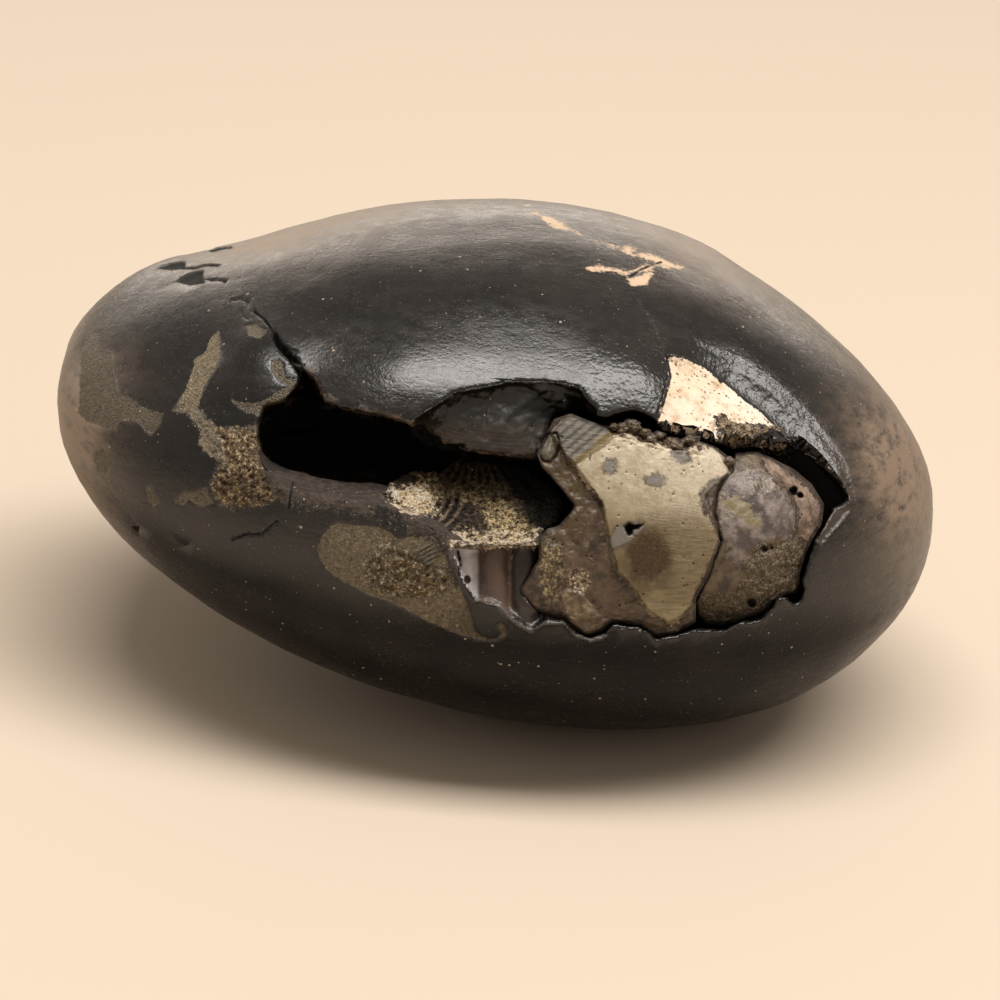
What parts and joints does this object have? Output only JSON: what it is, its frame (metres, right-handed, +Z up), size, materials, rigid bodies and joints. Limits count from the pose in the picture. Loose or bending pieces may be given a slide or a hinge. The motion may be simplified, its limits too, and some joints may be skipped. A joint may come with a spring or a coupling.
{
  "type": "shaligram stone",
  "caption": "Egg-shaped black river stone, broken open on one side over a hollow with pyrite crystals and a two-block fossil cast. Rests on a small flat spot.",
  "frame": {"origin": "middle of the bounding box in X and Y, on the plane of the flat resting spot", "axes": "+X along the stone toward its blunt right end, +Z up from the resting spot, the broken opening faces -Y"},
  "size_m": [0.0926, 0.068, 0.0492],
  "materials": {
    "black_shell": "river-polished black shale, satin with a matt broken lip",
    "pyritic_cast": "pale grey-olive pyritic limestone, polished in places",
    "brown_cast": "purple-brown pyritic limestone, worn smooth",
    "pyrite_crystals": "fine brassy pyrite crystals with flat bright faces"
  },
  "bodies": {
    "root": {"stone": "black_shell", "fossil_cast": "pyritic_cast", "fossil_cast_end": "brown_cast", "crystal_crust": "pyrite_crystals"}
  },
  "joints": []
}
